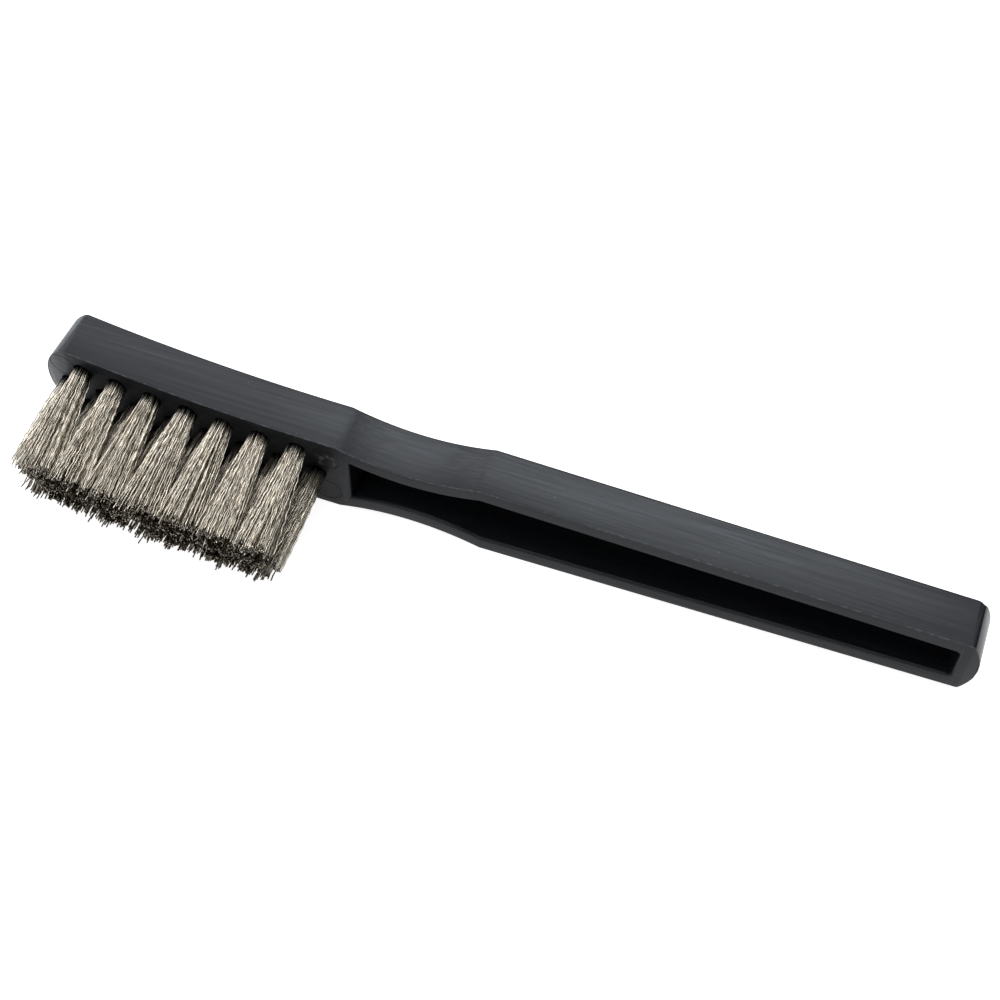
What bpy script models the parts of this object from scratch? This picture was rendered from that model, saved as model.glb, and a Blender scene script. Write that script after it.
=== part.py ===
"""Wire brush for spark plugs: a moulded plastic handle with three rows of steel wire tufts.

The brush lies on its side face. X runs from the head's tip to the end of the grip, Y from
the bristles to the back, and Z up across the width. The origin is under the brush's middle,
on the surface that it lies on. Lengths are in metres.
"""
import math
import random

import bmesh
import bpy
from mathutils import Matrix, Vector
from mathutils.geometry import delaunay_2d_cdt

# Handle
LENGTH = 0.150              # whole brush, tip to end
THICKNESS = 0.00805         # bristle face to back
HEAD_LENGTH = 0.0502        # tip to the shoulder behind the bristles
HEAD_WIDTH = 0.0164
HEAD_END_LENGTH = 0.0039    # rounded end, tip to the start of the straight sides
NECK_LENGTH = 0.0232
NECK_WIDTH = 0.0125         # at its narrowest
GRIP_WIDTH = 0.0164         # at the neck
GRIP_END_WIDTH = 0.0126     # at the far end
GRIP_END_LENGTH = 0.0023
CORNER_RADIUS = 0.0010      # where a rounded end meets the sides
FACE_EDGE = 0.0002          # edge round the bristle face
BACK_EDGE = 0.0005          # edge round the back
BOW_RADIUS = 0.420          # the head bows back from its bristles

# Hollow in the bristle side of the neck and grip
RIM = 0.0028                # wall left at the mouth
HOLLOW_START = 0.0022       # behind the shoulder
END_WALL = 0.0030
HOLLOW_FLOOR = 0.0016       # plastic left behind the hollow
HOLLOW_CORNER = 0.0006

# Round marks that the mould's push-out pins leave beside the end tufts
MARK_DIAMETER = 0.0040
MARK_DEPTH = 0.00015
MARK_FROM_TIP = 0.0036
MARK_FROM_SHOULDER = 0.0018
MARK_SPREAD = 0.0085        # between the two marks of a pair

# Tufts
ROW_TUFTS = 7               # in each outer row; the middle row holds one more
ROW_SPACING = 0.0046
FIRST_TUFT_SETBACK = 0.0041     # tip to the first tuft of the middle row
LAST_TUFT_SETBACK = 0.0032      # last tuft of the middle row to the shoulder
HOLE_DIAMETER = 0.0031
HOLE_FLOOR = 0.0024         # plastic left behind a hole
FIT_GAP = 0.0003            # left all round a piece in its seat
BRISTLE_LENGTH = 0.0194     # bristle face to the trimmed tips
ROOT_PROUD = 0.0010         # tight bundle that stands out of its hole
TIP_GAP = 0.0012            # between the tips of two tufts in one row
TIP_WIDTH = 0.0032          # of a tuft at its tips, across the brush
ROW_LEAN = 0.0012           # how far the tips of an outer row lean in, towards the middle row
STRAND_RADIUS = 0.00020
STRAND_GAP = 0.00006        # between two strands at the root
STRAND_INSET = 0.00008      # from the bundle's edge to its outer strands
TRIM_SCATTER = 0.0016       # how uneven the tips are

# Flat wire anchors that hold the folded tufts in their holes
ANCHOR_THICKNESS = 0.0003
ANCHOR_WIDTH = 0.0014
ANCHOR_BITE = 0.0006        # into the plastic at each side of the hole
ANCHOR_TURN = math.radians(30)
FOLD_THICKNESS = 0.0008     # of the wire that passes under an anchor

ARC_STEPS = 8
CORNER_STEPS = 4
HEAD_STEPS = 9
NECK_STEPS = 8
HOLE_SIDES = 16
MARK_SIDES = 20
BUNDLE_SIDES = 12
STRAND_SIDES = 3
CUT_MARGIN = 0.001          # how far a cutter stands out of the face that it enters
MERGE_LIMIT = 1e-9

# Worked out from the sizes above
HALF_HEAD = HEAD_WIDTH / 2
NECK_END = HEAD_LENGTH + NECK_LENGTH
NECK_DROP = (HEAD_WIDTH + GRIP_WIDTH) / 4 - NECK_WIDTH / 2
HOLLOW_DEPTH = THICKNESS - HOLLOW_FLOOR
HOLE_DEPTH = THICKNESS - HOLE_FLOOR
PITCH = (HEAD_LENGTH - FIRST_TUFT_SETBACK - LAST_TUFT_SETBACK) / ROW_TUFTS
BUNDLE_RADIUS = HOLE_DIAMETER / 2 - FIT_GAP
ANCHOR_DEPTH = HOLE_DEPTH - FIT_GAP - FOLD_THICKNESS - FIT_GAP - ANCHOR_WIDTH / 2
TIP_BEND = math.asin(HEAD_LENGTH / BOW_RADIUS)
BACK_REACH = BOW_RADIUS - (BOW_RADIUS - THICKNESS) * math.cos(TIP_BEND)


def clear_scene():
    for thing in list(bpy.data.objects):
        bpy.data.objects.remove(thing, do_unlink=True)


def make_material(name, color, roughness, metallic):
    material = bpy.data.materials.new(name)
    material.use_nodes = True
    shader = material.node_tree.nodes["Principled BSDF"]
    shader.inputs["Base Color"].default_value = (*color, 1.0)
    shader.inputs["Roughness"].default_value = roughness
    shader.inputs["Metallic"].default_value = metallic
    return material


def make_object(name, shape, brush, material=None):
    """An object that rides on the brush's frame, from a bmesh that it uses up."""
    bmesh.ops.recalc_face_normals(shape, faces=shape.faces)
    mesh = bpy.data.meshes.new(name)
    shape.to_mesh(mesh)
    shape.free()
    if material:
        mesh.materials.append(material)
    thing = bpy.data.objects.new(name, mesh)
    bpy.context.collection.objects.link(thing)
    thing.parent = brush
    return thing


def make_cutter(name, shape, brush):
    cutter = make_object(name, shape, brush)
    cutter.hide_render = True
    cutter.display_type = "WIRE"
    return cutter


def cut(thing, cutter):
    boolean = thing.modifiers.new("cut_" + cutter.name, "BOOLEAN")
    boolean.operation = "DIFFERENCE"
    boolean.solver = "EXACT"
    boolean.object = cutter


def bend_at(x):
    """Angle that the bowed head has turned through at a distance x from the tip."""
    return math.asin(max(HEAD_LENGTH - x, 0.0) / BOW_RADIUS)


def bowed(x, y, z):
    """A point of the straight handle, moved to where the bowed head carries it."""
    bend = bend_at(x)
    if bend == 0.0:
        return Vector((x, y, z))
    reach = BOW_RADIUS - y
    return Vector((HEAD_LENGTH - reach * math.sin(bend), BOW_RADIUS - reach * math.cos(bend), z))


def half_width(x):
    """Half the handle's width at x, leaving out its rounded ends."""
    if x <= HEAD_LENGTH:
        return HALF_HEAD
    if x <= NECK_END:
        along = (x - HEAD_LENGTH) / NECK_LENGTH
        shoulders = (HEAD_WIDTH + (GRIP_WIDTH - HEAD_WIDTH) * along) / 2
        return shoulders - NECK_DROP * (1 - (2 * along - 1) ** 2)
    along = (x - NECK_END) / (LENGTH - NECK_END)
    return (GRIP_WIDTH + (GRIP_END_WIDTH - GRIP_WIDTH) * along) / 2


def rounded_end(end_length, half):
    """Stations (distance from the end, half width) round one end, out to its straight sides.

    The end is one wide arc that runs on into a small arc at each corner.
    """
    side = half - CORNER_RADIUS
    radius = (side ** 2 + end_length ** 2 - CORNER_RADIUS ** 2) / (2 * (end_length - CORNER_RADIUS))
    turn = math.atan2(side, radius - end_length)
    stations = []
    for step in range(ARC_STEPS):
        angle = turn * (step + 0.5) / ARC_STEPS
        stations.append((radius * (1 - math.cos(angle)), radius * math.sin(angle)))
    for step in range(CORNER_STEPS + 1):
        angle = turn + (math.pi / 2 - turn) * step / CORNER_STEPS
        from_end = end_length - CORNER_RADIUS * math.cos(angle)
        stations.append((from_end, side + CORNER_RADIUS * math.sin(angle)))
    return stations


def handle_stations():
    """Stations (x, half width) along the whole handle."""
    stations = rounded_end(HEAD_END_LENGTH, HALF_HEAD)
    for step in range(1, HEAD_STEPS + 1):
        x = HEAD_END_LENGTH + (HEAD_LENGTH - HEAD_END_LENGTH) * step / HEAD_STEPS
        stations.append((x, half_width(x)))
    for step in range(1, NECK_STEPS + 1):
        x = HEAD_LENGTH + NECK_LENGTH * step / NECK_STEPS
        stations.append((x, half_width(x)))
    for from_end, half in reversed(rounded_end(GRIP_END_LENGTH, GRIP_END_WIDTH / 2)):
        stations.append((LENGTH - from_end, half))
    return stations


def hollow_stations():
    """Stations of the hollow, one rim's width inside the handle's outline."""
    start = HEAD_LENGTH + HOLLOW_START
    end = LENGTH - END_WALL
    places = [start]
    for step in range(1, NECK_STEPS + 1):
        x = HEAD_LENGTH + NECK_LENGTH * step / NECK_STEPS
        if start < x < end - HOLLOW_CORNER:
            places.append(x)
    places.append(end - HOLLOW_CORNER)
    stations = [(x, half_width(x) - RIM) for x in places]
    stations.append((end, half_width(end) - RIM - HOLLOW_CORNER))
    return stations


def solid(stations, levels):
    """A closed solid whose outline passes the stations, inset by each level's own amount."""
    shape = bmesh.new()
    rungs = []
    for index, (x, half) in enumerate(stations):
        before_x, before_half = stations[index - 1] if index else (x, -half)
        after_x, after_half = stations[index + 1] if index + 1 < len(stations) else (x, -half)
        slope = math.atan2(after_half - before_half, after_x - before_x)
        low = []
        high = []
        for y, inset in levels:
            place_x = x + inset * math.sin(slope)
            place_z = half - inset * math.cos(slope)
            low.append(shape.verts.new(bowed(place_x, y, -place_z)))
            high.append(shape.verts.new(bowed(place_x, y, place_z)))
        rungs.append((low, high))
    for (low, high), (next_low, next_high) in zip(rungs, rungs[1:]):
        shape.faces.new((low[0], high[0], next_high[0], next_low[0]))
        shape.faces.new((high[-1], low[-1], next_low[-1], next_high[-1]))
        for one, other in ((low, next_low), (high, next_high)):
            for level in range(len(levels) - 1):
                shape.faces.new((one[level], one[level + 1], other[level + 1], other[level]))
    for low, high in (rungs[0], rungs[-1]):
        for level in range(len(levels) - 1):
            shape.faces.new((low[level], low[level + 1], high[level + 1], high[level]))
    return shape


def seat_frame(x, z):
    """A frame on the bristle face: X along the brush, Y across it, Z straight out of the face."""
    bend = bend_at(x)
    outward = Vector((-math.sin(bend), -math.cos(bend), 0))
    along = Vector((math.cos(bend), -math.sin(bend), 0))
    frame = Matrix((along, outward.cross(along), outward)).transposed().to_4x4()
    frame.translation = bowed(x, 0, z)
    return frame


def tuft_places():
    """Name and place (distance from the tip, height from the middle) of every tuft."""
    places = []
    for row, label in ((-1, "low"), (0, "mid"), (1, "top")):
        first = FIRST_TUFT_SETBACK + abs(row) * PITCH / 2
        for number in range(ROW_TUFTS + 1 - abs(row)):
            name = "%s_%d" % (label, number + 1)
            places.append((name, first + number * PITCH, row * ROW_SPACING))
    return places


def add_cylinder(shape, frame, radius, bottom, top, sides):
    """A closed cylinder along the frame's Z, from bottom to top."""
    middle = frame @ Matrix.Translation((0, 0, (bottom + top) / 2))
    bmesh.ops.create_cone(shape, cap_ends=True, segments=sides, radius1=radius, radius2=radius,
                          depth=top - bottom, matrix=middle)


def add_box(shape, frame, size):
    """A closed box round the frame's origin."""
    bmesh.ops.create_cube(shape, size=1.0, matrix=frame @ Matrix.Diagonal((*size, 1.0)))


def anchor_frame(seat):
    return seat @ Matrix.Rotation(ANCHOR_TURN, 4, "Z") @ Matrix.Translation((0, 0, -ANCHOR_DEPTH))


def hole_cutter(brush):
    shape = bmesh.new()
    for _, x, z in tuft_places():
        add_cylinder(shape, seat_frame(x, z), HOLE_DIAMETER / 2, -HOLE_DEPTH, CUT_MARGIN, HOLE_SIDES)
    return make_cutter("hole_cutter", shape, brush)


def pocket_cutter(brush):
    """Slots for the anchors, cut both through the tufts and into the sides of their holes."""
    length = HOLE_DIAMETER + 2 * (ANCHOR_BITE + FIT_GAP)
    size = (length, ANCHOR_THICKNESS + 2 * FIT_GAP, ANCHOR_WIDTH + 2 * FIT_GAP)
    shape = bmesh.new()
    for _, x, z in tuft_places():
        add_box(shape, anchor_frame(seat_frame(x, z)), size)
    return make_cutter("pocket_cutter", shape, brush)


def hollow_cutter(brush):
    levels = ((-CUT_MARGIN, 0.0), (HOLLOW_DEPTH, 0.0))
    return make_cutter("hollow_cutter", solid(hollow_stations(), levels), brush)


def mark_cutter(brush):
    shape = bmesh.new()
    for x in (MARK_FROM_TIP, HEAD_LENGTH - MARK_FROM_SHOULDER):
        for z in (-MARK_SPREAD / 2, MARK_SPREAD / 2):
            add_cylinder(shape, seat_frame(x, z), MARK_DIAMETER / 2, -MARK_DEPTH, CUT_MARGIN, MARK_SIDES)
    return make_cutter("mark_cutter", shape, brush)


def make_handle(brush, material, cutters):
    levels = ((0.0, FACE_EDGE), (FACE_EDGE, 0.0), (THICKNESS - BACK_EDGE, 0.0), (THICKNESS, BACK_EDGE))
    handle = make_object("handle", solid(handle_stations(), levels), brush, material)
    for cutter in cutters:
        cut(handle, cutter)


def polygon(centre, radius, sides, turn=0.0):
    """Corners of a regular polygon."""
    corners = []
    for side in range(sides):
        angle = turn + 2 * math.pi * side / sides
        corners.append(centre + radius * Vector((math.cos(angle), math.sin(angle))))
    return corners


def strand_roots():
    """Centres of one tuft's strands: rings from the bundle's edge inwards, and one in the middle."""
    spacing = 2 * STRAND_RADIUS + STRAND_GAP
    ring = BUNDLE_RADIUS * math.cos(math.pi / BUNDLE_SIDES) - STRAND_INSET - STRAND_RADIUS
    roots = []
    while ring >= spacing / 2:
        count = int(math.pi / math.asin(spacing / 2 / ring))
        roots += polygon(Vector((0, 0)), ring, count, math.pi / 2 / count)
        ring -= spacing
    if ring >= 0:
        roots.append(Vector((0, 0)))
    return roots


def tip_spread():
    """How much further from the tuft's axis a strand stands at its tip than at its root."""
    ring = strand_roots()[0].length
    along = ((PITCH - TIP_GAP) / 2 - STRAND_RADIUS) / ring
    across = (TIP_WIDTH / 2 - STRAND_RADIUS) / ring
    return Vector((along, across))


def make_tuft(name, x, z, brush, material, pockets):
    """One tuft: the tight bundle in its hole, and strands that fan out square to the grip.

    The fan spreads evenly from the roots, so no strand crosses another.
    """
    seat = seat_frame(x, z)
    rng = random.Random(name)
    roots = strand_roots()
    bundle = polygon(Vector((0, 0)), BUNDLE_RADIUS, BUNDLE_SIDES)
    flat_points = list(bundle)
    outlines = [list(range(BUNDLE_SIDES))]
    for root in roots:
        outlines.append(list(range(len(flat_points), len(flat_points) + STRAND_SIDES)))
        turn = rng.uniform(0, 2 * math.pi / STRAND_SIDES)
        flat_points += polygon(root, STRAND_RADIUS, STRAND_SIDES, turn)
    points, _, faces, _, _, owners = delaunay_2d_cdt(flat_points, [], outlines, 1, MERGE_LIMIT)

    shape = bmesh.new()
    top = [shape.verts.new(seat @ Vector((*point, ROOT_PROUD))) for point in points]
    bottom = [shape.verts.new(seat @ Vector((*point, FIT_GAP - HOLE_DEPTH))) for point in bundle]
    for face, owner in zip(faces, owners):
        if max(owner) == 0:
            shape.faces.new([top[corner] for corner in face])
    for side in range(BUNDLE_SIDES):
        after = (side + 1) % BUNDLE_SIDES
        shape.faces.new((bottom[side], bottom[after], top[after], top[side]))
    shape.faces.new(reversed(bottom))

    spread = tip_spread()
    inward = -math.copysign(ROW_LEAN, z) if z else 0.0
    for root, corners in zip(roots, outlines[1:]):
        height = BRISTLE_LENGTH - rng.uniform(0, TRIM_SCATTER)
        lean = math.tan(bend_at(x)) * (height - ROOT_PROUD)
        move = Vector((root.x * (spread.x - 1) + lean, root.y * (spread.y - 1) + inward))
        tips = [shape.verts.new(seat @ Vector((*(points[corner] + move), height))) for corner in corners]
        for side in range(STRAND_SIDES):
            after = (side + 1) % STRAND_SIDES
            shape.faces.new((top[corners[side]], top[corners[after]], tips[after], tips[side]))
        shape.faces.new(tips)
    cut(make_object("tuft_" + name, shape, brush, material), pockets)


def make_anchor(name, x, z, brush, material):
    shape = bmesh.new()
    size = (HOLE_DIAMETER + 2 * ANCHOR_BITE, ANCHOR_THICKNESS, ANCHOR_WIDTH)
    add_box(shape, anchor_frame(seat_frame(x, z)), size)
    make_object("anchor_" + name, shape, brush, material)


clear_scene()
brush_frame = bpy.data.objects.new("brush", None)
bpy.context.collection.objects.link(brush_frame)
brush_frame.location = (-LENGTH / 2, (BRISTLE_LENGTH - BACK_REACH) / 2, HALF_HEAD)

black_plastic = make_material("black_plastic", (0.028, 0.029, 0.032), 0.42, 0.0)
steel_wire = make_material("steel_wire", (0.62, 0.58, 0.52), 0.30, 1.0)
flat_wire = make_material("flat_wire", (0.55, 0.55, 0.56), 0.35, 1.0)

anchor_pockets = pocket_cutter(brush_frame)
handle_cutters = [
    hole_cutter(brush_frame),
    anchor_pockets,
    hollow_cutter(brush_frame),
    mark_cutter(brush_frame),
]
make_handle(brush_frame, black_plastic, handle_cutters)
for place_name, from_tip, from_middle in tuft_places():
    make_tuft(place_name, from_tip, from_middle, brush_frame, steel_wire, anchor_pockets)
    make_anchor(place_name, from_tip, from_middle, brush_frame, flat_wire)
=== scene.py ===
import math
import random

import bmesh
import bpy
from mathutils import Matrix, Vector


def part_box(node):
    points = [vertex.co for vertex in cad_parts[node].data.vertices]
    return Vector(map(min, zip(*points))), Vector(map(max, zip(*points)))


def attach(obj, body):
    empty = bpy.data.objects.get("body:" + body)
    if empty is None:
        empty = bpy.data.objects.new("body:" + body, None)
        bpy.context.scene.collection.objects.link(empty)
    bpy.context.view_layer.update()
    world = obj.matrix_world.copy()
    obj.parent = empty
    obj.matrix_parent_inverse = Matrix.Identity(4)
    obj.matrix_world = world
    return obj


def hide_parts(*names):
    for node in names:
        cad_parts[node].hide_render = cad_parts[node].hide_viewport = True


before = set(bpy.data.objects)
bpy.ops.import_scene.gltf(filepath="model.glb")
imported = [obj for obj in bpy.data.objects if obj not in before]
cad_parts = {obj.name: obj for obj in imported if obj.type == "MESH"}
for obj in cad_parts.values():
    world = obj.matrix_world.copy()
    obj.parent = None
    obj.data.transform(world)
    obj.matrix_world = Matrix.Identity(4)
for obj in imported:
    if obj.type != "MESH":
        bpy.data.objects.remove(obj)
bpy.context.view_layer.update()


# The handle is one moulding of black plastic. It starts as a bar, is cut across at each
# station and squeezed to the outline there, gets its rounded edges, and is then bowed at the
# head, drilled for the tufts and hollowed along the neck and grip.
handle_low, handle_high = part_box("handle")
TIP_X = handle_low.x
END_X = handle_high.x
FACE_Y = handle_low.y
MIDDLE_Z = (handle_low.z + handle_high.z) / 2
HALF_HEAD = (handle_high.z - handle_low.z) / 2
THICKNESS = 0.00801
HEAD_LENGTH = 0.0502
NECK_LENGTH = 0.0232
SHOULDER_X = TIP_X + HEAD_LENGTH
GRIP_X = SHOULDER_X + NECK_LENGTH
HALF_GRIP = HALF_HEAD
HALF_GRIP_END = 0.0063
HALF_NECK = 0.00625
TIP_ARC_LENGTH = 0.0044
TIP_CORNER = 0.0012
TIP_LEAN = 0.00015
TIP_LEAN_LENGTH = 0.012
GRIP_ARC_LENGTH = 0.0019
GRIP_CORNER = 0.0003
BOW_RADIUS = 0.420
FACE_EDGE = 0.00015
BACK_EDGE = 0.0004
EDGE_SEGMENTS = 3
END_ROUND = 0.0015
END_ROUND_LENGTH = 0.0032
END_ROUND_X = END_X - END_ROUND_LENGTH
END_DROP = 0.0006
END_FLAT_HALF = 0.0040
END_CORNER_WIDTH = 0.0023
HEAD_STEPS = 16
NECK_STEPS = 20
END_STEPS = 6
WELD = 0.00001


def select_points(mesh, test):
    """Selects the points of the mesh being edited that pass a test, with their edges and faces."""
    bpy.ops.mesh.select_all(action="DESELECT")
    points = bmesh.from_edit_mesh(mesh)
    for point in points.verts:
        point.select = test(point.co)
    points.select_flush(True)
    bmesh.update_edit_mesh(mesh)


def add_bar(name, low, high):
    """A bar between two corners, as its own object, left in edit mode."""
    bpy.ops.object.select_all(action="DESELECT")
    bpy.ops.mesh.primitive_cube_add(size=1, location=(low + high) / 2, scale=high - low)
    bar = bpy.context.object
    bar.name = name
    bpy.ops.object.transform_apply(location=True, rotation=True, scale=True)
    bpy.ops.object.mode_set(mode="EDIT")
    return bar


def squeeze_to(bar, stations, full_half):
    """Cuts a bar across at each station (x, half width) and squeezes it to that width."""
    for x, _ in stations[1:-1]:
        bpy.ops.mesh.select_all(action="SELECT")
        bpy.ops.mesh.bisect(plane_co=(x, 0, 0), plane_no=(1, 0, 0))
    for x, half in stations:
        select_points(bar.data, lambda place: abs(place.x - x) < WELD)
        bpy.ops.transform.resize(value=(1, 1, half / full_half), center_override=(x, 0, MIDDLE_Z))


def half_width(x):
    """Half the handle's width at x, leaving out its rounded ends."""
    if x <= SHOULDER_X:
        return HALF_HEAD
    if x <= GRIP_X:
        along = (x - SHOULDER_X) / (GRIP_X - SHOULDER_X)
        return HALF_HEAD - (HALF_HEAD - HALF_NECK) * (1 - (2 * along - 1) ** 2)
    along = (x - GRIP_X) / (END_X - GRIP_X)
    return HALF_GRIP + (HALF_GRIP_END - HALF_GRIP) * along


def rounded_end(end_length, half, corner):
    """Stations (distance from the end, half width) round an end: a wide arc, then a small one."""
    side = half - corner
    radius = (side ** 2 + end_length ** 2 - corner ** 2) / (2 * (end_length - corner))
    turn = math.atan2(side, radius - end_length)
    arc_steps, corner_steps = 14, 7
    stations = []
    for step in range(arc_steps):
        angle = turn * (step + 0.5) / arc_steps
        stations.append((radius * (1 - math.cos(angle)), radius * math.sin(angle)))
    for step in range(corner_steps + 1):
        angle = turn + (math.pi / 2 - turn) * step / corner_steps
        stations.append((end_length - corner * math.cos(angle), side + corner * math.sin(angle)))
    start = stations[0][0]
    return [(from_end - start, half_there) for from_end, half_there in stations]


def spaced(start, end, count):
    return [start + (end - start) * step / count for step in range(1, count + 1)]


def bow(mesh):
    """Carries the straight head round to where the moulding's bow puts it.

    The back of the tip is longer than the bow alone would leave it.
    """
    centre_y = FACE_Y + BOW_RADIUS
    for point in mesh.vertices:
        near_tip = max(1 - (point.co.x - TIP_X) / TIP_LEAN_LENGTH, 0)
        lean = TIP_LEAN * near_tip * (point.co.y - FACE_Y) / THICKNESS
        if point.co.x < SHOULDER_X:
            bend = math.asin((SHOULDER_X - point.co.x) / BOW_RADIUS)
            reach = centre_y - point.co.y
            point.co.x = SHOULDER_X - reach * math.sin(bend) - lean
            point.co.y = centre_y - reach * math.cos(bend)


def seat_of(node):
    """Where a tuft leaves the bristle face, and how far the bowed head has turned there."""
    low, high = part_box(node)
    middle = (low + high) / 2
    centre_y = FACE_Y + BOW_RADIUS
    bend = max(math.atan2(SHOULDER_X - middle.x, centre_y - middle.y), 0)
    seat_x = SHOULDER_X - BOW_RADIUS * math.sin(bend)
    return Vector((seat_x, centre_y - BOW_RADIUS * math.cos(bend), middle.z)), bend


def cut(body, cutter):
    """Takes a cutter's shape out of a body, for good."""
    boolean = body.modifiers.new("cut", "BOOLEAN")
    boolean.operation = "DIFFERENCE"
    boolean.solver = "EXACT"
    boolean.object = cutter
    bpy.ops.object.select_all(action="DESELECT")
    bpy.context.view_layer.objects.active = body
    body.select_set(True)
    bpy.ops.object.modifier_apply(modifier="cut")
    bpy.data.objects.remove(cutter)


handle = add_bar("handle_moulding", Vector((TIP_X, FACE_Y, MIDDLE_Z - HALF_HEAD)),
                 Vector((END_X, FACE_Y + THICKNESS, MIDDLE_Z + HALF_HEAD)))
tip_arc = rounded_end(TIP_ARC_LENGTH, HALF_HEAD, TIP_CORNER)
grip_arc = rounded_end(GRIP_ARC_LENGTH, HALF_GRIP_END, GRIP_CORNER)
outline = [(TIP_X + from_end, half) for from_end, half in tip_arc]
outline += [(x, half_width(x)) for x in spaced(outline[-1][0], SHOULDER_X, HEAD_STEPS)]
outline += [(x, half_width(x)) for x in spaced(SHOULDER_X, GRIP_X, NECK_STEPS)]
arc_start = END_X - grip_arc[-1][0]
outline.append((END_ROUND_X, half_width(END_ROUND_X)))
outline += [(x, half_width(x)) for x in spaced(END_ROUND_X, arc_start, END_STEPS)[:-1]]
outline += [(END_X - from_end, half) for from_end, half in reversed(grip_arc)]
squeeze_to(handle, outline, HALF_HEAD)
for edge_y, size in ((FACE_Y, FACE_EDGE), (FACE_Y + THICKNESS, BACK_EDGE)):
    bpy.ops.mesh.select_all(action="DESELECT")
    bpy.ops.mesh.select_mode(type="EDGE")
    shape = bmesh.from_edit_mesh(handle.data)
    for edge in shape.edges:
        on_level = all(abs(point.co.y - edge_y) < WELD for point in edge.verts)
        faces = edge.link_faces
        is_corner = len(faces) == 2 and abs(faces[0].normal.dot(faces[1].normal)) < 0.5
        edge.select = on_level and is_corner
    bmesh.update_edit_mesh(handle.data)
    bpy.ops.mesh.bevel(offset=size, segments=EDGE_SEGMENTS, profile=0.5, affect="EDGES")
bpy.ops.mesh.select_mode(type="VERT")
bpy.ops.object.mode_set(mode="OBJECT")

# The rounded edge round the bristle face is marked for the finish, which paints it paler all along
# as a painted highlight, with a few nicks of wear
edge_wear_and_highlight = handle.data.attributes.new("edge_wear_and_highlight", "FLOAT", "CORNER")
for face in handle.data.polygons:
    deepest = max(handle.data.vertices[corner].co.y for corner in face.vertices)
    on_face_edge = deepest < FACE_Y + FACE_EDGE + WELD and face.normal.y > -0.99
    for corner in face.loop_indices:
        edge_wear_and_highlight.data[corner].value = 1.0 if on_face_edge else 0.0
bow(handle.data)

# The two back corners at the end of the grip are rounded off
for point in handle.data.vertices:
    if point.co.x > END_ROUND_X:
        drop = END_ROUND - math.sqrt(max(END_ROUND ** 2 - (point.co.x - END_ROUND_X) ** 2, 0))
        past_flat = abs(point.co.z - MIDDLE_Z) - END_FLAT_HALF
        outward = min(max(past_flat / END_CORNER_WIDTH, 0), 1)
        point.co.y = min(point.co.y, FACE_Y + THICKNESS - min(drop, END_DROP) * outward)

# The hollow is cut to 2.8 mm inside the outline, with square ends. Its mouth is rounded over, and
# the wall steps in a little just below it.
RIM = 0.0028
HOLLOW_FROM_SHOULDER = 0.0022
HOLLOW_FROM_END = 0.0034
HOLLOW_START_X = SHOULDER_X + HOLLOW_FROM_SHOULDER
HOLLOW_END_X = END_X - HOLLOW_FROM_END
HOLLOW_DEPTH = 0.00645
HOLLOW_CORNER = 0.0005
LIP_RADIUS = 0.00045
LIP_START = math.radians(8)
LIP_STEPS = 5
STEP_DEPTH = 0.0007
STEP_WIDTH = 0.0001
CUT_MARGIN = 0.001
hollow = add_bar("hollow_cutter",
                 Vector((HOLLOW_START_X, FACE_Y - CUT_MARGIN, MIDDLE_Z - HALF_HEAD)),
                 Vector((HOLLOW_END_X, FACE_Y + HOLLOW_DEPTH, MIDDLE_Z + HALF_HEAD)))
hollow_outline = [(HOLLOW_START_X, half_width(HOLLOW_START_X) - RIM)]
for x in spaced(SHOULDER_X, GRIP_X, NECK_STEPS):
    if x > HOLLOW_START_X:
        hollow_outline.append((x, half_width(x) - RIM))
corner_x = HOLLOW_END_X - HOLLOW_CORNER
hollow_outline.append((corner_x, half_width(corner_x) - RIM))
hollow_outline.append((HOLLOW_END_X, half_width(corner_x) - RIM - HOLLOW_CORNER))
squeeze_to(hollow, hollow_outline, HALF_HEAD)
mouth = []
for step in range(LIP_STEPS + 1):
    turn = LIP_START + (math.pi / 2 - LIP_START) * step / LIP_STEPS
    mouth.append((LIP_RADIUS * (1 - math.cos(turn)), LIP_RADIUS * (1 - math.sin(turn))))
mouth.append((STEP_DEPTH, 0))
mouth.append((STEP_DEPTH + 3 * WELD, -STEP_WIDTH))
for depth, _ in mouth:
    bpy.ops.mesh.select_all(action="SELECT")
    bpy.ops.mesh.bisect(plane_co=(0, FACE_Y + depth, 0), plane_no=(0, 1, 0))
bpy.ops.object.mode_set(mode="OBJECT")
for point in hollow.data.vertices:
    out = mouth[0][1]
    for depth, depth_out in mouth:
        if point.co.y > FACE_Y + depth - WELD / 10:
            out = depth_out
    point.co.z += math.copysign(out, point.co.z - MIDDLE_Z)
    if point.co.x < HOLLOW_START_X + WELD:
        point.co.x -= out
    if point.co.x > HOLLOW_END_X - WELD:
        point.co.x += out
cut(handle, hollow)

# One drill for each tuft, square to the bowed face
HOLE_RADIUS = 0.00155
HOLE_DEPTH = 0.0055
DRILL_SIDES = 28
drill_length = HOLE_DEPTH + CUT_MARGIN
tuft_names = sorted(name[len("anchor_"):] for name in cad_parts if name.startswith("anchor_"))
bpy.ops.object.select_all(action="DESELECT")
drills = None
for name in tuft_names:
    place, bend = seat_of("anchor_" + name)
    out = Vector((-math.sin(bend), -math.cos(bend), 0))
    middle = place - out * (drill_length / 2 - CUT_MARGIN)
    bpy.ops.mesh.primitive_cylinder_add(location=middle, rotation=(math.pi / 2, 0, -bend),
                                        radius=HOLE_RADIUS, depth=drill_length,
                                        vertices=DRILL_SIDES)
    if drills is None:
        drills = bpy.context.object
        bpy.ops.object.transform_apply(location=True, rotation=True, scale=True)
        bpy.ops.object.mode_set(mode="EDIT")
bpy.ops.object.mode_set(mode="OBJECT")
cut(handle, drills)

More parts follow.
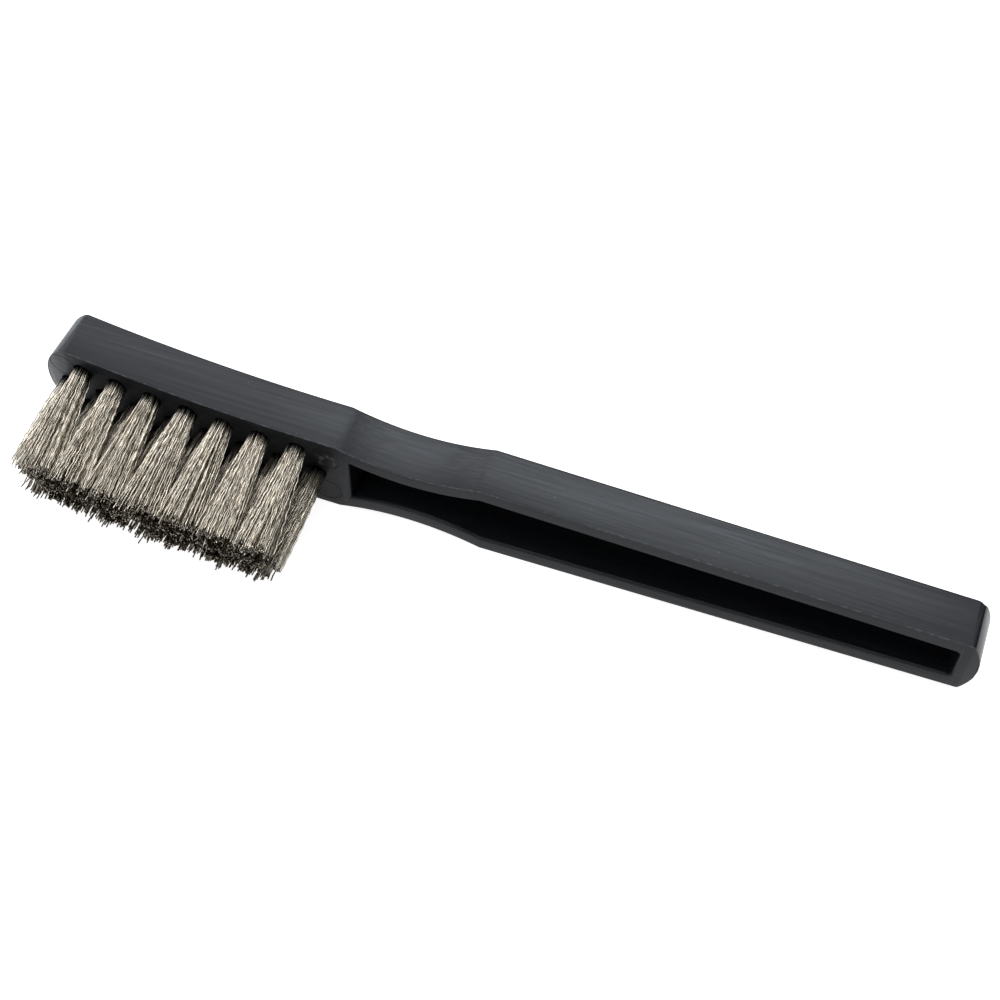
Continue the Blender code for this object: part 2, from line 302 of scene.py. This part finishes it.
# Four push-out pins of the mould each leave a thin round groove in the bristle face
MARK_RADIUS = 0.00235
MARK_GROOVE = 0.00008
MARK_SPREAD = 0.00425
MARK_FROM_TIP = 0.0036
MARK_FROM_SHOULDER = 0.0018
MARK_STEPS = 56
GROOVE_STEPS = 8
bpy.ops.object.select_all(action="DESELECT")
grooves = None
for mark_x in (TIP_X + MARK_FROM_TIP, SHOULDER_X - MARK_FROM_SHOULDER):
    for mark_z in (MIDDLE_Z - MARK_SPREAD, MIDDLE_Z + MARK_SPREAD):
        bend = math.asin((SHOULDER_X - mark_x) / BOW_RADIUS)
        place = (mark_x, FACE_Y + BOW_RADIUS * (1 - math.cos(bend)), mark_z)
        bpy.ops.mesh.primitive_torus_add(location=place, rotation=(math.pi / 2, 0, -bend),
                                         major_radius=MARK_RADIUS, minor_radius=MARK_GROOVE,
                                         major_segments=MARK_STEPS, minor_segments=GROOVE_STEPS)
        if grooves is None:
            grooves = bpy.context.object
            bpy.ops.object.transform_apply(location=True, rotation=True, scale=True)
            bpy.ops.object.mode_set(mode="EDIT")
bpy.ops.object.mode_set(mode="OBJECT")
cut(handle, grooves)
bpy.ops.object.select_all(action="DESELECT")
handle.select_set(True)
bpy.context.view_layer.objects.active = handle
SMOOTH_ANGLE = math.radians(32)
bpy.ops.object.shade_smooth_by_angle(angle=SMOOTH_ANGLE)


def add_node(material, kind, place, **settings):
    """A shader node at a place in the editor, with its settings made."""
    node = material.node_tree.nodes.new(kind)
    node.location = place
    for name, value in settings.items():
        setattr(node, name, value)
    return node


def join(material, source, target):
    material.node_tree.links.new(source, target)


def add_math(material, place, operation, *values):
    """A sum of two or three values, where each is a number or another node's output."""
    node = add_node(material, "ShaderNodeMath", place, operation=operation)
    for socket, value in zip(node.inputs, values):
        if isinstance(value, (int, float)):
            socket.default_value = value
        else:
            join(material, value, socket)
    return node.outputs["Value"]


def stretched_noise(material, coords, place, stretch, detail):
    """Noise on the piece's own coordinates, finer or coarser along each of them."""
    mapping = add_node(material, "ShaderNodeMapping", (place[0] - 200, place[1]))
    mapping.inputs["Scale"].default_value = stretch
    noise = add_node(material, "ShaderNodeTexNoise", place)
    noise.inputs["Scale"].default_value = 1.0
    noise.inputs["Detail"].default_value = detail
    join(material, coords.outputs["Object"], mapping.inputs["Vector"])
    join(material, mapping.outputs["Vector"], noise.inputs["Vector"])
    return noise.outputs["Fac"]


black_plastic = bpy.data.materials.new("black_plastic_moulding")
black_plastic.use_nodes = True
plastic = black_plastic.node_tree.nodes["Principled BSDF"]
plastic.inputs["Specular Tint"].default_value = (0.92, 0.955, 1.0, 1)
coords = add_node(black_plastic, "ShaderNodeTexCoord", (-1700, 0))

# Fine streaks run along the moulding, over broad clouds
streaks = stretched_noise(black_plastic, coords, (-1200, 300), (50, 2400, 2400), 4.0)
clouds = stretched_noise(black_plastic, coords, (-1200, 0), (90, 260, 260), 2.0)
scratches = stretched_noise(black_plastic, coords, (-1200, -300), (45, 3800, 3800), 1.0)
scratch_lines = add_node(black_plastic, "ShaderNodeMapRange", (-950, -300))
scratch_lines.inputs["From Min"].default_value = 0.66
scratch_lines.inputs["From Max"].default_value = 0.74
join(black_plastic, scratches, scratch_lines.inputs["Value"])

# Specks of dust, a few to the square centimetre
dust_cells = add_node(black_plastic, "ShaderNodeTexVoronoi", (-1200, -600))
dust_cells.inputs["Scale"].default_value = 420
dust_specks = add_node(black_plastic, "ShaderNodeMapRange", (-950, -600))
dust_specks.inputs["From Min"].default_value = 0.07
dust_specks.inputs["From Max"].default_value = 0.03
join(black_plastic, coords.outputs["Object"], dust_cells.inputs["Vector"])
join(black_plastic, dust_cells.outputs["Distance"], dust_specks.inputs["Value"])

# The marked edge is painted paler all along as a painted highlight, with a few paler nicks of wear
# on it
wear_and_highlight = add_node(black_plastic, "ShaderNodeAttribute", (-1200, -900), attribute_name="edge_wear_and_highlight")
nicks = stretched_noise(black_plastic, coords, (-1200, -1100), (900, 900, 900), 3.0)
nick_spots = add_node(black_plastic, "ShaderNodeMapRange", (-950, -1100))
nick_spots.inputs["From Min"].default_value = 0.5
nick_spots.inputs["From Max"].default_value = 0.72
join(black_plastic, nicks, nick_spots.inputs["Value"])
highlight_and_nicks = add_math(black_plastic, (-700, -1100), "MULTIPLY_ADD",
                    nick_spots.outputs["Result"], 0.5, 0.35)
# Painted highlight along the edge, plus nicks of wear
edge_paleness = add_math(black_plastic, (-500, -900), "MULTIPLY", wear_and_highlight.outputs["Fac"], highlight_and_nicks)

paleness = add_math(black_plastic, (-700, 300), "MULTIPLY", streaks, 0.55)
cloud_part = add_math(black_plastic, (-700, 100), "MULTIPLY", clouds, 0.15)
scratch_part = add_math(black_plastic, (-700, -300), "MULTIPLY",
                        scratch_lines.outputs["Result"], 0.12)
dust_part = add_math(black_plastic, (-700, -600), "MULTIPLY",
                     dust_specks.outputs["Result"], 0.25)
paleness = add_math(black_plastic, (-500, 200), "ADD", paleness, cloud_part)
paleness = add_math(black_plastic, (-500, 0), "ADD", paleness, scratch_part)
paleness = add_math(black_plastic, (-500, -200), "ADD", paleness, dust_part)
paleness = add_math(black_plastic, (-300, -100), "ADD", paleness, edge_paleness)

# The pin mark nearest the camera at the shoulder is scuffed inside
from_mark = add_node(black_plastic, "ShaderNodeVectorMath", (-1200, -1400), operation="DISTANCE")
from_mark.inputs[1].default_value = (SHOULDER_X - MARK_FROM_SHOULDER, FACE_Y,
                                     MIDDLE_Z + MARK_SPREAD)
in_mark = add_node(black_plastic, "ShaderNodeMapRange", (-950, -1400))
in_mark.inputs["From Min"].default_value = MARK_RADIUS
in_mark.inputs["From Max"].default_value = MARK_RADIUS - 0.0008
join(black_plastic, coords.outputs["Object"], from_mark.inputs[0])
join(black_plastic, from_mark.outputs["Value"], in_mark.inputs["Value"])
scuffs = add_math(black_plastic, (-700, -1400), "MULTIPLY", in_mark.outputs["Result"],
                  nick_spots.outputs["Result"])
paleness = add_math(black_plastic, (-300, -1300), "ADD", paleness, scuffs)
plastic_color = add_node(black_plastic, "ShaderNodeValToRGB", (-100, 100))
plastic_color.color_ramp.elements[0].position = 0.22
plastic_color.color_ramp.elements[0].color = (0.006, 0.0066, 0.008, 1)
plastic_color.color_ramp.elements[1].position = 1.0
plastic_color.color_ramp.elements[1].color = (0.11, 0.115, 0.12, 1)
middle_color = plastic_color.color_ramp.elements.new(0.5)
middle_color.color = (0.018, 0.0195, 0.023, 1)
plastic_rough = add_node(black_plastic, "ShaderNodeMapRange", (-300, -300))
plastic_rough.inputs["From Min"].default_value = 0.3
plastic_rough.inputs["From Max"].default_value = 0.7
plastic_rough.inputs["To Min"].default_value = 0.44
plastic_rough.inputs["To Max"].default_value = 0.34

# The head is duller than the neck and grip, which hands have polished
place_parts = add_node(black_plastic, "ShaderNodeSeparateXYZ", (-500, -500))
head_dull = add_node(black_plastic, "ShaderNodeMapRange", (-300, -550))
head_dull.inputs["From Min"].default_value = SHOULDER_X - 0.012
head_dull.inputs["From Max"].default_value = SHOULDER_X + 0.002
head_dull.inputs["To Min"].default_value = 0.1
head_dull.inputs["To Max"].default_value = 0.0
join(black_plastic, coords.outputs["Object"], place_parts.inputs["Vector"])
join(black_plastic, place_parts.outputs["X"], head_dull.inputs["Value"])
roughness = add_math(black_plastic, (-100, -300), "ADD", plastic_rough.outputs["Result"],
                     head_dull.outputs["Result"])

# Both ends are the shiniest
for end_x, inside_x, place in ((TIP_X + 0.0014, TIP_X + 0.0030, (-300, -750)),
                               (END_X - 0.0012, END_X - 0.0019, (-300, -950))):
    end_shine = add_node(black_plastic, "ShaderNodeMapRange", place)
    end_shine.inputs["From Min"].default_value = inside_x
    end_shine.inputs["From Max"].default_value = end_x
    end_shine.inputs["To Min"].default_value = 0.0
    end_shine.inputs["To Max"].default_value = -0.26
    join(black_plastic, place_parts.outputs["X"], end_shine.inputs["Value"])
    roughness = add_math(black_plastic, (place[0] + 200, place[1]), "ADD", roughness,
                         end_shine.outputs["Result"])

# The tip is painted paler as a painted highlight, the most so at its rim where it is seen edge-on,
# and mirrors more than the rest
TIP_HIGHLIGHT_X = TIP_X + 0.0040
TIP_HIGHLIGHT_FADE = 0.0008
tip_highlight_zone = add_node(black_plastic, "ShaderNodeMapRange", (-500, -1550))
tip_highlight_zone.inputs["From Min"].default_value = TIP_HIGHLIGHT_X + TIP_HIGHLIGHT_FADE
tip_highlight_zone.inputs["From Max"].default_value = TIP_HIGHLIGHT_X
join(black_plastic, place_parts.outputs["X"], tip_highlight_zone.inputs["Value"])
rim_weight = add_node(black_plastic, "ShaderNodeLayerWeight", (-700, -1900))
rim_highlight_share = add_node(black_plastic, "ShaderNodeMapRange", (-500, -1900))
rim_highlight_share.inputs["From Min"].default_value = 0.6
rim_highlight_share.inputs["From Max"].default_value = 0.9
rim_highlight_share.inputs["To Min"].default_value = 0.05
rim_highlight_share.inputs["To Max"].default_value = 0.9
join(black_plastic, rim_weight.outputs["Facing"], rim_highlight_share.inputs["Value"])
# Painted highlight: paler base colour at the tip, strongest where its rim is seen edge-on
tip_painted_highlight = add_math(black_plastic, (-300, -1550), "MULTIPLY", tip_highlight_zone.outputs["Result"],
                    rim_highlight_share.outputs["Result"])
paleness = add_math(black_plastic, (-100, -1300), "ADD", paleness, tip_painted_highlight)
tip_mirror = add_math(black_plastic, (-300, -1750), "MULTIPLY_ADD",
                      tip_highlight_zone.outputs["Result"], 0.4, 0.4)
join(black_plastic, tip_mirror, plastic.inputs["Specular IOR Level"])
streak_bump = add_node(black_plastic, "ShaderNodeBump", (-100, -450))
streak_bump.inputs["Strength"].default_value = 0.5
streak_bump.inputs["Distance"].default_value = 0.00003
join(black_plastic, paleness, plastic_color.inputs["Fac"])
join(black_plastic, plastic_color.outputs["Color"], plastic.inputs["Base Color"])
join(black_plastic, streaks, plastic_rough.inputs["Value"])
join(black_plastic, roughness, plastic.inputs["Roughness"])
join(black_plastic, streaks, streak_bump.inputs["Height"])
join(black_plastic, streak_bump.outputs["Normal"], plastic.inputs["Normal"])
handle.data.materials.clear()
handle.data.materials.append(black_plastic)
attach(handle, "root")
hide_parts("handle")


# The anchors are short pieces of flat steel wire, pressed across the folded tufts in their
# holes. They keep their own solids and only get the finish of drawn wire.
flat_wire = bpy.data.materials.new("drawn_flat_wire")
flat_wire.use_nodes = True
drawn = flat_wire.node_tree.nodes["Principled BSDF"]
drawn.inputs["Metallic"].default_value = 1.0
drawn.inputs["Base Color"].default_value = (0.55, 0.55, 0.56, 1)
draw_coords = add_node(flat_wire, "ShaderNodeTexCoord", (-900, 0))
draw_map = add_node(flat_wire, "ShaderNodeMapping", (-700, 0))
draw_map.inputs["Scale"].default_value = (800, 6000, 6000)
draw_lines = add_node(flat_wire, "ShaderNodeTexNoise", (-500, 0))
draw_lines.inputs["Scale"].default_value = 1.0
draw_rough = add_node(flat_wire, "ShaderNodeMapRange", (-250, -100))
draw_rough.inputs["To Min"].default_value = 0.25
draw_rough.inputs["To Max"].default_value = 0.5
join(flat_wire, draw_coords.outputs["Object"], draw_map.inputs["Vector"])
join(flat_wire, draw_map.outputs["Vector"], draw_lines.inputs["Vector"])
join(flat_wire, draw_lines.outputs["Fac"], draw_rough.inputs["Value"])
join(flat_wire, draw_rough.outputs["Result"], drawn.inputs["Roughness"])
for name in tuft_names:
    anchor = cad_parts["anchor_" + name]
    anchor.data.materials.clear()
    anchor.data.materials.append(flat_wire)


# Each tuft is a bundle of about a hundred crimped steel wires, folded in half, pushed into its hole
# and trimmed. The wires fan out along the brush as they rise, in locks that cross each other a
# little, and the outer rows lean in towards the middle row.
WIRE_RADIUS = 0.00012
WIRES = 100
LOCKS = 10
BUNDLE_RADIUS = 0.00138
CRIMP_PITCH = 0.0023
CRIMP_SIZE = 0.00008
WIRE_LENGTH = 0.0184
SUNK = 0.0015
TIP_REACH_ALONG = 0.0030
TIP_REACH_ACROSS = 0.0012
ROW_LEAN = 0.0010
STRAYS = 0.14
BELLY = 0.0001
# Lengths of painted shade on each wire next to its hole, and the share of cut-end points left
# unshaded
ROOT_SHADE = 0.0004
ROOT_SHADE_FADE = 0.0004
CUT_UNSHADED = 0.7
CUT_SPREAD = 0.0010
CUT_SLACK = 0.0001
WIRE_SPREAD = 0.00012
STRAY_LONGER = (0.0002, 0.0011)
STRAY_REACH = (1.0, 1.35)
LOCK_SPREAD_ALONG = 0.0004
LOCK_SPREAD_ACROSS = 0.0002
LOCK_PHASE = 0.3
SWING_SPREAD = 0.5
PHASE_SPREAD = 0.1
CRIMP_VARIES = (0.7, 1.3)

# Tufts at the ends of the rows bow and lean along the brush by these two lengths
END_LEANS = {"low_1": (0, 0.0010), "mid_1": (0, 0.0012), "top_1": (0.0002, 0.0006),
             "mid_8": (-0.0004, -0.0024), "low_7": (0, -0.0010), "top_7": (0, -0.0003)}

# Wires that end beyond here, on the tip's side, are trimmed shorter
END_TRIM_X = TIP_X + 0.0045
END_TRIM = 0.35

steel_wire = bpy.data.materials.new("crimped_steel_wire")
steel_wire.use_nodes = True
steel = steel_wire.node_tree.nodes["Principled BSDF"]
steel.inputs["Metallic"].default_value = 1.0
steel.inputs["Roughness"].default_value = 0.27
wire_coords = add_node(steel_wire, "ShaderNodeTexCoord", (-1000, 0))
wire_map = add_node(steel_wire, "ShaderNodeMapping", (-800, 0))
wire_map.inputs["Scale"].default_value = (5000, 300, 5000)
wire_noise = add_node(steel_wire, "ShaderNodeTexNoise", (-600, 0))
wire_noise.inputs["Scale"].default_value = 1.0
wire_noise.inputs["Detail"].default_value = 2.0
wire_color = add_node(steel_wire, "ShaderNodeValToRGB", (-380, 0))
wire_color.color_ramp.elements[0].position = 0.33
wire_color.color_ramp.elements[0].color = (0.25, 0.225, 0.185, 1)
wire_color.color_ramp.elements[1].position = 0.62
wire_color.color_ramp.elements[1].color = (0.90, 0.82, 0.69, 1)
join(steel_wire, wire_coords.outputs["Object"], wire_map.inputs["Vector"])
join(steel_wire, wire_map.outputs["Vector"], wire_noise.inputs["Vector"])
join(steel_wire, wire_noise.outputs["Fac"], wire_color.inputs["Fac"])

# Each wire is painted dark where it comes out of its hole, as painted shade from the handle's edge
# above it, and speckled with painted shade at its cut end
clear_of_painted_shade = add_node(steel_wire, "ShaderNodeAttribute", (-600, -300), attribute_name="clear_of_painted_shade")
painted_shade_mix = add_node(steel_wire, "ShaderNodeMix", (-100, 0), data_type="RGBA")
painted_shade_mix.inputs["A"].default_value = (0.048, 0.049, 0.052, 1)
join(steel_wire, clear_of_painted_shade.outputs["Fac"], painted_shade_mix.inputs["Factor"])
join(steel_wire, wire_color.outputs["Color"], painted_shade_mix.inputs["B"])
join(steel_wire, painted_shade_mix.outputs["Result"], steel.inputs["Base Color"])


def in_disc(rng):
    """A point of the unit disc, every part of it as likely as another."""
    angle = rng.uniform(0, 2 * math.pi)
    radius = math.sqrt(rng.uniform(0, 1))
    return radius * math.cos(angle), radius * math.sin(angle)


def wire_points(rng, seat, bend, wave, locks, belly, lean):
    """The crimped path of one wire, from inside its hole to its trimmed tip."""
    u, v = in_disc(rng)
    into = Vector((math.sin(bend), math.cos(bend), 0))
    root = seat + BUNDLE_RADIUS * Vector((u * math.cos(bend), -u * math.sin(bend), v))
    start = root + into * SUNK
    row = round((seat.z - MIDDLE_Z) / HALF_HEAD * 2)
    length = WIRE_LENGTH - rng.uniform(0, CUT_SPREAD - CUT_SLACK)
    reach = 1.0
    if rng.random() < STRAYS:
        length += rng.uniform(*STRAY_LONGER)
        reach = rng.uniform(*STRAY_REACH)
    lock = locks[int(rng.random() * len(locks))]
    along = u * TIP_REACH_ALONG * reach + lock[0] + rng.gauss(0, WIRE_SPREAD)
    across = v * TIP_REACH_ACROSS + lock[1] + rng.gauss(0, WIRE_SPREAD) - row * ROW_LEAN
    length -= END_TRIM * max(END_TRIM_X - seat.x - along, 0)
    tip = seat + Vector((along, -length, across))
    side = wave[0] + rng.gauss(0, SWING_SPREAD)
    swing = Vector((math.cos(side), 0, math.sin(side)))
    count = int((WIRE_LENGTH + SUNK) / (CRIMP_PITCH / 2))
    phase = (wave[1] + lock[2] + rng.gauss(0, PHASE_SPREAD)) % 1.0
    points = [start]
    for step in range(count):
        share = (step + phase) / count
        size = CRIMP_SIZE * min(share * 4, 1) * rng.uniform(*CRIMP_VARIES)
        place = start.lerp(tip, share) + swing * size * (1 if step % 2 else -1)
        place.x += (u * belly + lean[0]) * 4 * share * (1 - share) + lean[1] * share ** 2
        points.append(place)
    points.append(tip + Vector((lean[1], 0, 0)))
    return points


def make_tuft(name):
    """One tuft of wires as a mesh, standing for its CAD node."""
    rng = random.Random(name)
    seat, bend = seat_of("anchor_" + name)
    wave = (rng.uniform(0, math.pi), rng.random())
    locks = []
    for _ in range(LOCKS):
        along = rng.gauss(0, LOCK_SPREAD_ALONG)
        across = rng.gauss(0, LOCK_SPREAD_ACROSS)
        locks.append((along, across, rng.uniform(0, LOCK_PHASE)))
    wires = bpy.data.curves.new("wires_" + name, "CURVE")
    wires.dimensions = "3D"
    wires.bevel_depth = WIRE_RADIUS
    wires.bevel_resolution = 0
    wires.use_fill_caps = True
    belly = rng.uniform(0.3, 1) * BELLY
    lean = END_LEANS.get(name, (0, 0))
    for _ in range(WIRES):
        points = wire_points(rng, seat, bend, wave, locks, belly, lean)
        spline = wires.splines.new("POLY")
        spline.points.add(len(points) - 1)
        for point, place in zip(spline.points, points):
            point.co = (*place, 1)
    tuft = bpy.data.objects.new("wires_" + name, wires)
    bpy.context.collection.objects.link(tuft)
    bpy.ops.object.select_all(action="DESELECT")
    tuft.select_set(True)
    bpy.context.view_layer.objects.active = tuft
    bpy.ops.object.convert(target="MESH")
    tuft = bpy.context.object
    bpy.ops.object.shade_smooth()
    # Painted shade: 0 where the wire is painted dark, near its root and at random points of its cut
    # end
    clear_of_painted_shade = tuft.data.attributes.new("clear_of_painted_shade", "FLOAT", "POINT")
    for point in tuft.data.vertices:
        height = seat.y - point.co.y
        unshaded = min(max((height - ROOT_SHADE) / ROOT_SHADE_FADE, 0), 1)
        if height > WIRE_LENGTH - CUT_SPREAD:
            unshaded = 1 if rng.random() < CUT_UNSHADED else 0
        clear_of_painted_shade.data[point.index].value = unshaded
    tuft.data.materials.clear()
    tuft.data.materials.append(steel_wire)
    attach(tuft, "root")
    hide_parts("tuft_" + name)


for name in tuft_names:
    make_tuft(name)


# The floor is a plain sheet under the brush, much larger than the picture. It is white to the
# camera and pale in reflections, and keeps the brush's shadow.
bpy.ops.object.select_all(action="DESELECT")
bpy.ops.mesh.primitive_plane_add(size=4, location=(0, 0, 0))
floor = bpy.context.object
floor.name = "floor"
floor_paint = bpy.data.materials.new("white_floor")
floor_paint.use_nodes = True
paint = floor_paint.node_tree.nodes["Principled BSDF"]
paint.inputs["Base Color"].default_value = (0.8, 0.8, 0.8, 1)
paint.inputs["Roughness"].default_value = 0.9
paint.inputs["Specular IOR Level"].default_value = 0.0
paint.inputs["Emission Color"].default_value = (1, 1, 1, 1)
floor_path = add_node(floor_paint, "ShaderNodeLightPath", (-500, -300))
mirrored = add_math(floor_paint, (-300, -400), "MAXIMUM", floor_path.outputs["Is Glossy Ray"],
                    floor_path.outputs["Is Transmission Ray"])
mirrored_glow = add_math(floor_paint, (-120, -400), "MULTIPLY", mirrored, 0.3)
seen_glow = add_math(floor_paint, (-120, -200), "MULTIPLY",
                     floor_path.outputs["Is Camera Ray"], 0.9)
floor_glow = add_math(floor_paint, (60, -300), "ADD", seen_glow, mirrored_glow)
join(floor_paint, floor_glow, paint.inputs["Emission Strength"])
floor.data.materials.append(floor_paint)


# The room is dim grey all round. Three soft lamps stand behind the brush, the middle one the
# brightest, with one more over it and a low one in front, for the bristle face and the hollow.
world = bpy.data.worlds.new("studio")
bpy.context.scene.world = world
world.use_nodes = True
backdrop = world.node_tree.nodes["Background"]
backdrop.inputs["Color"].default_value = (1, 1, 1, 1)
backdrop.inputs["Strength"].default_value = 0.06


def add_lamp(name, place, width, height, energy, color):
    """An area lamp that faces the brush."""
    lamp = bpy.data.lights.new(name, "AREA")
    lamp.shape = "RECTANGLE"
    lamp.size = width
    lamp.size_y = height
    lamp.energy = energy
    lamp.color = color
    lamp_object = bpy.data.objects.new(name, lamp)
    bpy.context.collection.objects.link(lamp_object)
    lamp_object.location = place
    lamp_object.rotation_euler = (-Vector(place)).to_track_quat("-Z", "Y").to_euler()


LAMP_COLOR = (0.95, 0.97, 1.0)
add_lamp("back_lamp", (-0.10, 0.45, 0.58), 0.48, 0.4, 2.55, LAMP_COLOR)
add_lamp("right_lamp", (0.28, 0.45, 0.58), 0.3, 0.4, 0.1, LAMP_COLOR)
add_lamp("top_lamp", (-0.02, 0.0, 0.85), 0.6, 0.6, 2.1, LAMP_COLOR)
add_lamp("left_lamp", (-0.58, 0.42, 0.42), 0.5, 0.4, 1.9, LAMP_COLOR)
add_lamp("front_lamp", (-0.35, -0.70, 0.40), 0.5, 0.15, 1.4, LAMP_COLOR)


# The camera stands above the side face and in front of the bristles, with the tip to the left
# and the grip's end to the right.
camera_data = bpy.data.cameras.new("camera")
camera_data.lens = 68.512
camera_data.sensor_width = 36
camera_data.clip_start = 0.01
camera = bpy.data.objects.new("camera", camera_data)
bpy.context.collection.objects.link(camera)
camera.location = (0.046589, -0.136040, 0.255233)
camera.rotation_euler = (math.radians(31.5962), math.radians(-0.7900), math.radians(19.0691))
bpy.context.scene.camera = camera

bpy.context.scene.view_settings.view_transform = "Standard"
